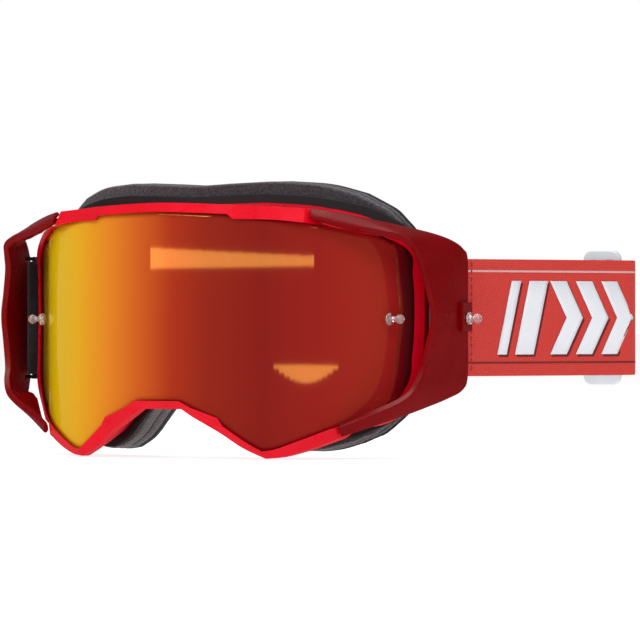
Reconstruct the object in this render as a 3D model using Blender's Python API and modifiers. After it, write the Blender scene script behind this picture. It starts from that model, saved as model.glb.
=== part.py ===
"""Motorcycle goggles: a bent lens in a ringed frame with two outriggers, face foam and an elastic strap.

Design units are millimetres; objects are built in metres by MM. -Y is the front, +X the wearer's left
(the viewer's right), +Z up. The origin is the centre of the face seat, at the height of the posts.
"""
import math

import bpy
import bmesh
from mathutils import Vector

MM = 0.001
GAP = 0.35             # clearance between neighbouring pieces
LENS_GAP = 0.6         # clearance round the lens, which is sprung in and out

# Lens
LENS_APEX = -44.0      # y of the lens's foremost line
LENS_R = 92.0          # the lens bends round one vertical cylinder
LENS_T = 1.2
BEVEL_SLOPE = 0.83     # how fast the side bevel falls back per mm outward
LENS_ROWS = 4
# Columns of the lens's face, then of its side bevel: x, lower z, upper z
LENS_FACE = [(0, -31.4, 41.8), (9.7, -31.4, 41.6), (17.0, -35.2, 41.3), (25.1, -39.5, 40.9),
             (31.0, -43.8, 40.6), (36.7, -47.9, 39.9), (41.3, -50.5, 39.3), (45.2, -49.7, 38.8),
             (51.5, -47.2, 38.0), (57.3, -44.7, 37.2), (64.1, -41.7, 35.6), (70.9, -38.2, 33.5),
             (75.6, -34.6, 32.1), (78.6, -28.0, 28.6)]
LENS_BEVEL = [(82.3, -28.0, 28.4), (84.1, -19.5, 20.8), (85.2, -11.5, 15.0)]
STEEP_X, STEEP_GAP = 58.0, 0.9   # where the lens turns steeply back, the lip keeps a wider gap
LIP = 1.0              # thickness of the frame's lip in front of the lens
RIM_DROP = 2.4         # how far the rim's outer edge lies behind its lip
RIM_DEPTH = 4.0
WALL = 2.4

# Frame and face curve
FLANGE_Y = -20.0       # y of the face flange at the middle
FLANGE_CURVE = 0.0049
FLANGE_T = 2.0
FACE_CURVE = 0.0034
NOSE_RISE = 12.0       # how far flange and foam come forward over the nose
NOSE_HALF = 20.0

# Strap
STRAP_W, STRAP_T, STRAP_Z = 45.0, 1.5, 0.9
STRAP_REAR_Y = 101.0   # y of the rear run's inner face
FOLD_X, FOLD_R = 126.5, 5.0
BAR = (91.7, 11.0)     # strap bar's axis, x and y
BAR_R, BAR_H = 1.4, 49.0
SLIDER_X, SLIDER_L, SLIDER_H = 108.0, 16.0, 53.0
TAIL_IN = 46.0         # the doubled strap's fixed middle ends here
SLIDER_WALL = 1.6
FOLD_START = (126.6, 83.5)
FOLD_FROM = -38.0
SEWN_FROM, SEWN, SEWN_HALF = 5.0, 16.0, 0.3   # the strap's sewn-back end, from the bar, and half its gap
BAR_CLIP_X = 95.7
GRIP_HALF, GRIP_W, GRIP_T, GRIP_STEP = 44.0, 6.0, 0.8, 14.9
SLIDER_CLEAR = (0.5, 0.6)    # room round the two strap layers inside a slider, in depth and in height
TAIL_PAST = 1.0        # the tail reaches this far past its slider
FOLD_LAP = 1.5         # the side strap runs on this far past its fold
CLIP_HALF, CLIP_IN, CLIP_OUT = 1.5, 1.6, 0.2   # bar clip: half depth, and its faces from the bar's end

# Tear-off posts
HEAD_CENTRE = (0, 40, 0)     # the outriggers' inner faces look towards this point
PAD = ((99.4, 11.2, -4.5), (102.9, 19.0, 6.9))
POST_AT = (78.4, -3.7, 0.3)
PAD_POST_Y, PAD_POST_DROP = 15.2, 0.6
LENS_STEM, PAD_STEM = 3.4, 2.2

# Half outlines (x, z), from the top centre round the side to the bottom centre, one row per station:
# lens face edge, lens bevel edge, lip inner edge, rim outer edge, flange outer edge, foam outer edge.
STATIONS = [
    ((0, 41.8), (0, 41.8), (0, 41.3), (0, 44.8), (0, 47.5), (0, 51.5)),
    ((16, 41.3), (16, 41.3), (16, 40.8), (16, 44.4), (16, 48.0), (16, 52.2)),
    ((29, 40.7), (29, 40.7), (29, 40.2), (28, 43.9), (30, 48.4), (30, 52.8)),
    ((31.2, 40.6), (31.2, 40.6), (31.2, 38.3), (32, 43.7), (33, 48.3), (33, 52.8)),
    ((46.4, 38.6), (46.4, 38.6), (46.4, 37.9), (46.4, 42.9), (48, 47.2), (50, 51.2)),
    ((56.0, 37.4), (56.0, 37.4), (56.0, 36.9), (55.2, 42.4), (57, 45.6), (61, 48.0)),
    ((60.5, 36.5), (60.5, 36.5), (60.5, 36.0), (59.0, 38.8), (62, 44.4), (67, 44.5)),
    ((70.9, 33.5), (70.9, 33.5), (70.7, 33.0), (71.5, 36.4), (73, 39.6), (74, 38.5)),
    ((75.6, 32.1), (77.4, 32.3), (77.0, 31.7), (79.2, 34.6), (80.5, 34.0), (78.5, 32.0)),
    ((78.0, 28.4), (82.6, 28.6), (82.3, 28.3), (85.4, 30.0), (87.5, 27.0), (82.0, 24.0)),
    ((79.3, 15.0), (85.3, 16.0), (84.9, 16.0), (87.8, 16.5), (91.0, 21.0), (84.0, 12.0)),
    ((79.8, 3.0), (85.6, 3.0), (85.2, 3.0), (88.0, 3.0), (91.6, 1.0), (84.4, 0.0)),
    ((79.1, -12.0), (85.2, -13.0), (84.8, -13.0), (87.7, -13.5), (91.0, -19.0), (83.6, -13.0)),
    ((78.1, -26.7), (83.2, -26.6), (82.9, -26.4), (85.8, -28.0), (87.5, -25.5), (81.0, -25.0)),
    ((77.0, -32.6), (79.4, -33.4), (79.0, -33.0), (81.0, -35.8), (81.0, -33.0), (76.0, -34.0)),
    ((74.2, -36.2), (75.0, -36.6), (74.6, -36.0), (76.4, -39.4), (74.0, -38.6), (69.5, -41.0)),
    ((66.8, -40.4), (66.8, -40.4), (66.5, -39.9), (67.2, -42.4), (67.0, -42.4), (63.0, -45.0)),
    ((64.1, -41.7), (64.1, -41.7), (63.8, -41.2), (65.2, -45.0), (64.0, -43.8), (60.0, -46.5)),
    ((51.5, -47.2), (51.5, -47.2), (51.3, -46.7), (53.0, -50.2), (52.0, -47.6), (49.0, -49.5)),
    ((45.2, -49.7), (45.2, -49.7), (45.1, -49.2), (46.0, -52.2), (45.0, -49.4), (42.0, -49.8)),
    ((41.3, -50.5), (41.3, -50.5), (41.2, -49.9), (41.3, -52.7), (40.0, -49.6), (36.0, -49.0)),
    ((36.7, -47.9), (36.7, -47.9), (36.9, -47.3), (34.8, -49.8), (34.0, -47.0), (30.5, -46.5)),
    ((27.2, -41.0), (27.2, -41.0), (27.2, -40.4), (26.0, -43.9), (25.0, -40.8), (24.0, -42.2)),
    ((25.1, -39.5), (25.1, -39.5), (25.1, -37.2), (23.6, -42.4), (22.0, -38.6), (21.0, -39.6)),
    ((15.0, -34.2), (15.0, -34.2), (15.0, -33.6), (14.0, -37.0), (13.5, -33.8), (14.0, -34.2)),
    ((9.7, -31.4), (9.7, -31.4), (9.7, -30.9), (9.3, -34.0), (8.5, -31.6), (9.0, -31.4)),
    ((0, -31.4), (0, -31.4), (0, -30.9), (0, -34.0), (0, -31.2), (0, -30.6)),
]
FLARE = {5: -3.2, 17: -1.3}      # the rim's edge stands forward where the upper arms leave it
FOAM_BAND = 12.5       # width of the foam ring across its face
FOAM_SHARES = (0.42, 0.82)   # where the glued layers meet, as shares of the foam's thickness
FOAM_LEAST = 9.0
BODY_GAP, BODY_INSET, FLANGE_LAP = 1.0, 0.4, 3.4
VENT_GAP, VENT_T = 0.6, 2.0
VENT_TOP_END, VENT_BOTTOM = 5, range(17, 20)
VENT_FRONT, VENT_REAR = 0.3, 0.85   # the strips' ends, as shares of the wall's depth
MIDDLE_HALF, MIDDLE_Z = 48.0, 2.0   # outlines inset straight up or down within this half width

# Outrigger sections (inner edge, outer edge), from the top seam round to the bottom seam
OUTRIGGER_T = 2.6
ROOT_SHARE = 0.55      # the arms thin down to this at their roots
OUTRIGGER = [
    ((58.3, -28.9, 39.2), (57.2, -25.9, 42.4)),
    ((68.5, -23.5, 36.6), (66.0, -20.2, 41.0)),
    ((80.0, -17.0, 34.2), (76.5, -13.0, 38.4)),
    ((88.0, -13.2, 32.6), (87.0, -3.5, 35.4)),
    ((92.3, -11.3, 30.0), (94.0, 4.5, 33.0)),
    ((94.0, -8.5, 25.5), (98.2, 11.0, 30.5)),
    ((95.0, -6.3, 20.0), (100.6, 15.8, 27.2)),
    ((97.0, -4.6, 11.0), (101.4, 17.9, 22.5)),
    ((98.8, -3.5, 1.5), (101.4, 17.9, 0.5)),
    ((97.0, -4.6, -9.0), (101.4, 17.9, -21.0)),
    ((95.0, -6.3, -18.5), (100.4, 15.6, -26.8)),
    ((94.0, -8.5, -24.0), (97.2, 10.2, -30.0)),
    ((91.6, -10.6, -29.0), (92.6, 3.4, -33.0)),
    ((86.5, -13.0, -32.6), (85.6, -4.0, -36.6)),
    ((77.5, -16.8, -36.4), (76.0, -12.4, -40.8)),
    ((66.3, -21.4, -40.6), (67.2, -20.0, -44.5)),
]


def lens_y(x):
    """Front surface of the lens, or of its bevel past the bent face."""
    return LENS_APEX + LENS_R - math.sqrt(LENS_R ** 2 - x * x)


def lens_edge_y(face, edge):
    return lens_y(face[0]) + BEVEL_SLOPE * (edge[0] - face[0])


def nose_shift(x, z):
    return -NOSE_RISE * math.exp(-(x / NOSE_HALF) ** 2) if z < 0 else 0.0


def flange_y(x, z):
    return FLANGE_Y + FLANGE_CURVE * x * x + nose_shift(x, z)


def face_y(x, z):
    return FACE_CURVE * x * x + nose_shift(x, z)


def toward_middle(point, distance):
    """A point of an outline moved in by a distance; the middle part moves straight up or down."""
    x, z = point
    cx = math.copysign(max(abs(x) - MIDDLE_HALF, 0.0), x)
    cz = z - MIDDLE_Z
    span = math.hypot(cx, cz)
    return x - cx / span * distance, z - cz / span * distance


def full_loop(half):
    """Mirrors a half outline that starts and ends on the middle plane."""
    return half + [(-p[0], *p[1:]) for p in half[-2:0:-1]]


def new_object(name, bm, material):
    mesh = bpy.data.meshes.new(name)
    bmesh.ops.recalc_face_normals(bm, faces=bm.faces)
    bm.to_mesh(mesh)
    bm.free()
    mesh.materials.append(material)
    ob = bpy.data.objects.new(name, mesh)
    parts.objects.link(ob)
    return ob


def loft(name, loops, material, closed_path=True):
    """Joins equal rows of points into a closed section; an open path gets flat ends."""
    bm = bmesh.new()
    rows = [[bm.verts.new(Vector(p) * MM) for p in loop] for loop in loops]
    count, length = len(rows), len(rows[0])
    for i in range(count):
        for j in range(length if closed_path else length - 1):
            a, b = rows[i], rows[(i + 1) % count]
            k = (j + 1) % length
            # The diagonal is the same on a plate's two faces, so plates laid together keep their gap.
            if i < count / 2:
                bm.faces.new((a[j], a[k], b[k]))
                bm.faces.new((a[j], b[k], b[j]))
            else:
                bm.faces.new((a[j], a[k], b[j]))
                bm.faces.new((a[k], b[k], b[j]))
    if not closed_path:
        for j in (0, length - 1):
            bm.faces.new([row[j] for row in rows])
    return new_object(name, bm, material)


def mirrored(points, side):
    return [(side * x, y, z) for x, y, z in points]


def material(name, colour, roughness, metallic=0.0):
    mat = bpy.data.materials.new(name)
    mat.use_nodes = True
    shader = mat.node_tree.nodes["Principled BSDF"]
    shader.inputs["Base Color"].default_value = (*colour, 1.0)
    shader.inputs["Roughness"].default_value = roughness
    shader.inputs["Metallic"].default_value = metallic
    return mat


def ribbon(name, path, low, high, thickness, mat):
    """A strap standing on edge: a plan path thickened to its left, between two heights."""
    left = []
    for i, (x, y) in enumerate(path):
        ax, ay = path[max(i - 1, 0)]
        bx, by = path[min(i + 1, len(path) - 1)]
        length = math.hypot(bx - ax, by - ay)
        left.append((x - (by - ay) / length * thickness, y + (bx - ax) / length * thickness))
    rows = [
        [(x, y, low) for x, y in path],
        [(x, y, high) for x, y in path],
        [(x, y, high) for x, y in left],
        [(x, y, low) for x, y in left],
    ]
    return loft(name, rows, mat, closed_path=False)


def arc(cx, cy, radius, start, end, steps):
    angles = [math.radians(start + (end - start) * i / steps) for i in range(steps + 1)]
    return [(cx + radius * math.cos(a), cy + radius * math.sin(a)) for a in angles]


def box(name, low, high, mat):
    bpy.ops.mesh.primitive_cube_add(size=1)
    ob = bpy.context.object
    ob.name = ob.data.name = name
    for v in ob.data.vertices:
        v.co = Vector([(low[i] + high[i]) / 2 + v.co[i] * (high[i] - low[i]) for i in range(3)]) * MM
    ob.data.materials.append(mat)
    for old in ob.users_collection:
        old.objects.unlink(ob)
    return ob


def lens_columns():
    """Columns of the lens from the middle to one side: x, y, lower z, upper z."""
    columns = [(x, lens_y(x), low, high) for x, low, high in LENS_FACE]
    edge_x = LENS_FACE[-1][0]
    columns += [(x, lens_y(edge_x) + BEVEL_SLOPE * (x - edge_x), low, high) for x, low, high in LENS_BEVEL]
    return columns


def make_lens():
    right = lens_columns()
    columns = [(-x, y, low, high) for x, y, low, high in reversed(right[1:])] + right
    bm = bmesh.new()
    grid = [[bm.verts.new(Vector((x, y, low + (high - low) * r / LENS_ROWS)) * MM)
             for r in range(LENS_ROWS + 1)] for x, y, low, high in columns]
    for left, after in zip(grid, grid[1:]):
        for r in range(LENS_ROWS):
            bm.faces.new((left[r], after[r], after[r + 1], left[r + 1]))
    ob = new_object("lens", bm, lens_mat)
    if ob.data.polygons[0].normal.y > 0:
        ob.data.flip_normals()
    solid = ob.modifiers.new("wall", "SOLIDIFY")
    solid.thickness = LENS_T * MM
    solid.offset = -1


def make_frame():
    lip_front, out_front, out_rear, in_rear, lip_outer, lip_inner = [], [], [], [], [], []
    for i, (face, edge, lip, out, _, _) in enumerate(STATIONS):
        flare = FLARE.get(i, 0.0)
        level = lens_edge_y(face, edge) if edge != face else lens_y(lip[0])
        if face[0] > STEEP_X:
            level -= STEEP_GAP
        clear = toward_middle(edge, -LENS_GAP)
        lip_front.append((lip[0], level - LENS_GAP - LIP + flare, lip[1]))
        out_front.append((out[0], level + RIM_DROP - LIP + flare, out[1]))
        out_rear.append((out[0], level + RIM_DROP + RIM_DEPTH, out[1]))
        in_rear.append((clear[0], level + RIM_DROP + RIM_DEPTH, clear[1]))
        lip_outer.append((clear[0], level - LENS_GAP, clear[1]))
        lip_inner.append((lip[0], level - LENS_GAP, lip[1]))
    rows = [lip_front, out_front, out_rear, in_rear, lip_outer, lip_inner]
    loft("frame_rim", [full_loop(r) for r in rows], red)

    front_out, rear_out, rear_in, front_in = [], [], [], []
    for (x, y, z), station in zip(out_rear, STATIONS):
        for row, inset in ((front_out, BODY_INSET), (front_in, BODY_INSET + WALL)):
            px, pz = toward_middle((x, z), inset)
            row.append((px, y + BODY_GAP, pz))
        for row, inset in ((rear_out, FLANGE_LAP), (rear_in, FLANGE_LAP + WALL)):
            px, pz = toward_middle(station[4], inset)
            row.append((px, flange_y(px, pz), pz))
    rows = [front_out, rear_out, rear_in, front_in]
    loft("frame_body", [full_loop(r) for r in rows], red)
    return front_in, rear_in


def plate(name, outline, front, rear, band, mat):
    """A ring of a given width whose front and rear follow two depth functions."""
    inner = [toward_middle(p, band) for p in outline]
    rows = [[(x, depth(x, z), z) for x, z in line]
            for line, depth in ((outline, front), (outline, rear), (inner, rear), (inner, front))]
    loft(name, [full_loop(r) for r in rows], mat)


def make_face_layers():
    def flange_front(x, z):
        return flange_y(x, z) + GAP

    def flange_rear(x, z):
        return flange_front(x, z) + FLANGE_T

    def foam_level(share, gap=0.0):
        def depth(x, z):
            start = flange_rear(x, z) + GAP
            return start + (max(face_y(x, z), start + FOAM_LEAST) - start) * share - gap
        return depth

    plate("face_flange", [s[4] for s in STATIONS], flange_front, flange_rear, FOAM_BAND + 1.0, black)
    layers = (("foam_base", 0.0, FOAM_SHARES[0], foam_dark), ("foam_middle", *FOAM_SHARES, foam_grey),
              ("foam_fleece", FOAM_SHARES[1], 1.0, fleece))
    for name, front, rear, mat in layers:
        plate(name, [s[5] for s in STATIONS], foam_level(front), foam_level(rear, GAP if rear < 1 else 0.0),
              FOAM_BAND, mat)


def make_vent_foams(wall_front, wall_rear):
    """Thin strips inside the frame's wall, behind its upper and lower vents."""
    corners = ((VENT_FRONT, 0), (VENT_REAR, 0), (VENT_REAR, VENT_T), (VENT_FRONT, VENT_T))

    def strip(name, picks):
        rows = [[], [], [], []]
        for i, side in picks:
            for row, (share, inset) in zip(rows, corners):
                x, y, z = (a + (b - a) * share for a, b in zip(wall_front[i], wall_rear[i]))
                px, pz = toward_middle((x, z), VENT_GAP + inset)
                row.append((side * px, y, pz))
        loft(name, rows, foam_grey, closed_path=False)

    top_left = [(i, -1) for i in range(VENT_TOP_END, 0, -1)]
    strip("vent_foam_top", top_left + [(i, 1) for i in range(VENT_TOP_END + 1)])
    for side, word in ((-1, "left"), (1, "right")):
        strip(f"vent_foam_bottom_{word}", [(i, side) for i in VENT_BOTTOM])


def make_post(name, base, direction, stem):
    """Turned post: flange, waist and rounded head, on its own axis."""
    profile = [(0, 0), (2.4, 0), (2.4, 0.9), (1.05, 1.3), (1.05, stem), (1.75, stem + 0.5),
               (1.95, stem + 1.6), (1.6, stem + 2.8), (0.8, stem + 3.4), (0, stem + 3.5)]
    bm = bmesh.new()
    verts = [bm.verts.new((r * MM, 0, h * MM)) for r, h in profile]
    edges = [bm.edges.new(pair) for pair in zip(verts, verts[1:])]
    bmesh.ops.spin(bm, geom=verts + edges, axis=(0, 0, 1), cent=(0, 0, 0), steps=12,
                   angle=2 * math.pi, use_merge=True)
    bmesh.ops.remove_doubles(bm, verts=bm.verts, dist=1e-6)
    ob = new_object(name, bm, clear)
    ob.location = Vector(base) * MM
    ob.rotation_euler = Vector(direction).to_track_quat("Z", "Y").to_euler()


def make_outrigger(word, side):
    inner = [Vector(a) for a, _ in OUTRIGGER]
    outer = [Vector(b) for _, b in OUTRIGGER]
    rows = [[], [], [], []]
    last = len(OUTRIGGER) - 1
    for i, (a, b) in enumerate(zip(inner, outer)):
        ahead, behind = min(i + 1, last), max(i - 1, 0)
        path = inner[ahead] + outer[ahead] - inner[behind] - outer[behind]
        thickness = OUTRIGGER_T * (ROOT_SHARE if i in (0, last) else 1.0)
        inward = path.cross(b - a).normalized() * thickness
        if inward.dot(Vector(HEAD_CENTRE) - a) < 0:
            inward = -inward
        for row, p in zip(rows, (a, b, b + inward, a + inward)):
            row.append(p)
    ob = loft(f"outrigger_{word}", [mirrored(r, side) for r in rows], dark_red, closed_path=False)
    front, rear = sorted((side * PAD[0][0], side * PAD[1][0]))
    pad = box(f"post_pad_{word}", (front, *PAD[0][1:]), (rear, *PAD[1][1:]), dark_red)
    cutters.objects.link(pad)
    pad.hide_render = True
    pad.display_type = "WIRE"
    join = ob.modifiers.new("post_pad", "BOOLEAN")
    join.operation = "UNION"
    join.object = pad
    post_z = (PAD[0][2] + PAD[1][2]) / 2 - PAD_POST_DROP
    post_base = (side * (PAD[1][0] + GAP), PAD_POST_Y, post_z)
    make_post(f"outrigger_post_{word}", post_base, (side, 0, 0), PAD_STEM)


def make_strap_side(word, side):
    """Bar inside the outrigger, and the strap that loops round it and runs back to its fold."""
    low, high = STRAP_Z - STRAP_W / 2, STRAP_Z + STRAP_W / 2
    bm = bmesh.new()
    radius = BAR_R * MM
    bmesh.ops.create_cone(bm, cap_ends=True, segments=16, radius1=radius, radius2=radius, depth=BAR_H * MM)
    bar = new_object(f"strap_bar_{word}", bm, black)
    bar.location = Vector((side * BAR[0], BAR[1], STRAP_Z)) * MM

    for level, sign in (("upper", 1), ("lower", -1)):
        z0 = STRAP_Z + sign * (BAR_H / 2 - CLIP_IN)
        z1 = STRAP_Z + sign * (BAR_H / 2 - CLIP_OUT)
        x0, x1 = side * (BAR[0] + BAR_R + GAP), side * BAR_CLIP_X
        clip = box(f"bar_clip_{level}_{word}", (min(x0, x1), BAR[1] - CLIP_HALF, min(z0, z1)),
                   (max(x0, x1), BAR[1] + CLIP_HALF, max(z0, z1)), black)
        parts.objects.link(clip)

    inner_r = BAR_R + GAP
    away = math.degrees(math.atan2(FOLD_START[1] - BAR[1], FOLD_START[0] - BAR[0]))
    loop = arc(BAR[0], BAR[1], inner_r, away + 90, away + 270, 8)
    step = Vector((math.cos(math.radians(away)), math.sin(math.radians(away))))
    aside = Vector((-step.y, step.x))
    middle = Vector(BAR)
    path = [middle + step * SEWN + aside * SEWN_HALF, middle + step * SEWN_FROM + aside * SEWN_HALF, *loop,
            middle + step * SEWN_FROM - aside * SEWN_HALF, middle + step * SEWN - aside * SEWN_HALF]
    rear_centre = (FOLD_X, STRAP_REAR_Y - FOLD_R)
    turn = arc(*rear_centre, FOLD_R, FOLD_FROM, 90, 8)
    path += [FOLD_START, *turn, (FOLD_X - FOLD_LAP, STRAP_REAR_Y)]
    ordered = [(side * x, y) for x, y in path]
    if side > 0:
        ordered.reverse()
    ribbon(f"strap_side_{word}", ordered, low, high, STRAP_T, strap_red)


def make_rear():
    low, high = STRAP_Z - STRAP_W / 2, STRAP_Z + STRAP_W / 2
    y0, y1 = STRAP_REAR_Y, STRAP_REAR_Y + STRAP_T
    end = FOLD_X - FOLD_LAP - GAP
    parts.objects.link(box("strap_rear", (-end, y0, low), (end, y1, high), strap_red))
    z0, z1 = y1 + GAP, y1 + GAP + STRAP_T
    parts.objects.link(box("strap_overlap", (-TAIL_IN, z0, low), (TAIL_IN, z1, high), strap_red))
    for side, word in ((-1, "left"), (1, "right")):
        a, b = sorted((side * (TAIL_IN + GAP), side * (SLIDER_X + SLIDER_L + TAIL_PAST)))
        parts.objects.link(box(f"strap_tail_{word}", (a, z0, low), (b, z1, high), strap_red))
        make_slider(word, side, (y0 + z1) / 2, z1 - y0)
    for word, z in (("upper", STRAP_Z + GRIP_STEP), ("middle", STRAP_Z), ("lower", STRAP_Z - GRIP_STEP)):
        grip = box(f"silicone_grip_{word}", (-GRIP_HALF, y0 - GAP - GRIP_T, z - GRIP_W / 2),
                   (GRIP_HALF, y0 - GAP, z + GRIP_W / 2), silicone)
        parts.objects.link(grip)


def make_slider(word, side, y, stack):
    """A frame that both strap layers run straight through."""
    outline = bpy.data.curves.new(f"slider_{word}", "CURVE")
    outline.dimensions = "2D"
    outline.fill_mode = "BOTH"
    outline.extrude = SLIDER_L / 2 * MM
    hole = (stack / 2 + SLIDER_CLEAR[0], STRAP_W / 2 + SLIDER_CLEAR[1])
    for half_y, half_z in ((hole[0] + SLIDER_WALL, SLIDER_H / 2), hole):
        spline = outline.splines.new("POLY")
        spline.points.add(3)
        spline.use_cyclic_u = True
        for point, (sx, sy) in zip(spline.points, ((-1, -1), (1, -1), (1, 1), (-1, 1))):
            point.co = (sx * half_y * MM, sy * half_z * MM, 0, 1)
    guide = bpy.data.objects.new(f"slider_{word}_outline", outline)
    parts.objects.link(guide)
    bpy.context.view_layer.update()
    mesh = bpy.data.meshes.new_from_object(guide.evaluated_get(bpy.context.evaluated_depsgraph_get()))
    bpy.data.objects.remove(guide)
    bm = bmesh.new()
    bm.from_mesh(mesh)
    bmesh.ops.remove_doubles(bm, verts=bm.verts, dist=1e-6)
    for v in bm.verts:
        across, up, along = v.co
        v.co = (along, across, up)
    ob = new_object(f"slider_{word}", bm, white)
    ob.location = Vector((side * (SLIDER_X + SLIDER_L / 2), y, STRAP_Z)) * MM


for old in list(bpy.data.objects):
    bpy.data.objects.remove(old, do_unlink=True)
parts = bpy.data.collections.new("goggles")
cutters = bpy.data.collections.new("cutters")
bpy.context.scene.collection.children.link(parts)
bpy.context.scene.collection.children.link(cutters)

red = material("frame red", (0.74, 0.002, 0.015), 0.32)
dark_red = material("outrigger red", (0.19, 0.0, 0.002), 0.42)
lens_mat = material("mirror lens", (0.75, 0.25, 0.02), 0.08, 0.9)
clear = material("clear post", (0.8, 0.75, 0.75), 0.1)
black = material("black rubber", (0.01, 0.009, 0.011), 0.6)
foam_dark = material("dark foam", (0.01, 0.009, 0.011), 0.95)
foam_grey = material("grey foam", (0.035, 0.028, 0.033), 0.95)
fleece = material("fleece", (0.02, 0.018, 0.02), 1.0)
strap_red = material("strap red", (0.6, 0.045, 0.03), 0.8)
white = material("slider white", (0.83, 0.84, 0.86), 0.35)
silicone = material("silicone", (0.05, 0.04, 0.045), 0.5)

make_lens()
wall_front, wall_rear = make_frame()
make_face_layers()
make_vent_foams(wall_front, wall_rear)
for side, word in ((-1, "left"), (1, "right")):
    make_post(f"lens_post_{word}", (side * POST_AT[0], POST_AT[1], POST_AT[2]), (side, 0, 0), LENS_STEM)
    make_outrigger(word, side)
    make_strap_side(word, side)
make_rear()
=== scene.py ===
"""Looks of the motorcycle goggles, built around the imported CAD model. Design units are mm, objects metres."""
import math

import bmesh
import bpy
from mathutils import Matrix, Vector


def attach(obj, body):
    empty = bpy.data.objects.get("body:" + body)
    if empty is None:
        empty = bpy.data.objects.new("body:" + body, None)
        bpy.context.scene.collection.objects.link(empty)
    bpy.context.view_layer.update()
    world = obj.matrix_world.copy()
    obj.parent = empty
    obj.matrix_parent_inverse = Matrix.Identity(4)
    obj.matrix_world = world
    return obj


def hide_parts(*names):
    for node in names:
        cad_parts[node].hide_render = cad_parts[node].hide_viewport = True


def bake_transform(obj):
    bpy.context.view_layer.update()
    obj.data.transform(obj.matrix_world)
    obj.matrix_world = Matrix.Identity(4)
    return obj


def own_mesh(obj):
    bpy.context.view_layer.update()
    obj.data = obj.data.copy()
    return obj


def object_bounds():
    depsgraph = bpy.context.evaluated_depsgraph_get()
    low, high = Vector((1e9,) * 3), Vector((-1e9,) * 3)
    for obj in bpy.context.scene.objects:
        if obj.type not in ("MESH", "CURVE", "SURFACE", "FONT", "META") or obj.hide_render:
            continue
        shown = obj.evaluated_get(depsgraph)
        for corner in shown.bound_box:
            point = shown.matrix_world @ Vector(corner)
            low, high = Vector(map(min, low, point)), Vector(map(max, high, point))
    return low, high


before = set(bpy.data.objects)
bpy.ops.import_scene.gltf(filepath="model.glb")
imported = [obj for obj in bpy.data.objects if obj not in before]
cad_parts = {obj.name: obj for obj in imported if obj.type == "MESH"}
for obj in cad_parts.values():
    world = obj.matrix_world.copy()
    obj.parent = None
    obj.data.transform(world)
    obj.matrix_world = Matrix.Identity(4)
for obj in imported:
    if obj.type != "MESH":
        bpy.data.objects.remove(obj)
cad_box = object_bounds()

MM = 0.001
SIDES = ((-1, "left"), (1, "right"))

# Lens and rim
LENS_APEX, LENS_R, LENS_T, BEVEL_SLOPE = -44.0, 92.0, 1.2, 0.83
LENS_HALF = 0.0855                    # half width in metres, where the lens's painted reflection starts and ends
STEEP_X, STEEP_GAP = 58.0, 0.9        # where the lens turns steeply back, the lip keeps a wider gap
LENS_GAP, LIP_FRONT, RIM_FALL, RIM_REAR = 0.6, 1.6, 1.4, 6.4   # from the lens's edge
WALL_INSETS, FLANGE_INSETS, BODY_GAP = (0.4, 2.8), (3.4, 5.8), 1.0

# Face side
FLANGE_Y, FLANGE_CURVE, FACE_CURVE = -20.0, 0.0049, 0.0034
NOSE_RISE, NOSE_HALF = 12.0, 20.0
MIDDLE_HALF, MIDDLE_Z = 48.0, 2.0     # outlines inset straight up or down within this half width
GAP, FLANGE_T, FOAM_GAP, FOAM_LEAST = 0.35, 2.0, 0.15, 9.0
FOAM_BAND, FOAM_SHARES, LAYER_GAP = 12.5, (0.42, 0.82), 0.1

# Strap
STRAP_W, STRAP_T, STRAP_Z = 45.0, 1.5, 0.9
STRAP_LOW, STRAP_HIGH = STRAP_Z - STRAP_W / 2, STRAP_Z + STRAP_W / 2
STRAP_REAR_Y = 101.0
BAR, BAR_R, BAR_H, LOOP_R = (91.7, 11.0), 1.4, 48.8, 1.75
FOLD_START, FOLD_X, FOLD_R = (126.6, 83.5), 126.5, 5.0
REAR_END, OVERLAP_HALF = 124.65, 46.0
TAIL_IN, TAIL_OUT, TAIL_LINE = 46.35, 124.6, 60.15   # ends of a tail, and the length of its printed lines
SLIDER_MID, SLIDER_Y = 116.0, STRAP_REAR_Y + 1.675
PRINT_LOW, PRINT_HIGH = STRAP_Z - 14.2, STRAP_Z + 14.2
PALE_LINE = (STRAP_HIGH - 5.0, STRAP_HIGH - 4.2)
DARK_LINE = (STRAP_LOW + 4.8, STRAP_LOW + 5.5)
TWILL_TURN, TWILL_SCALE = math.radians(38), 330.0

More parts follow.
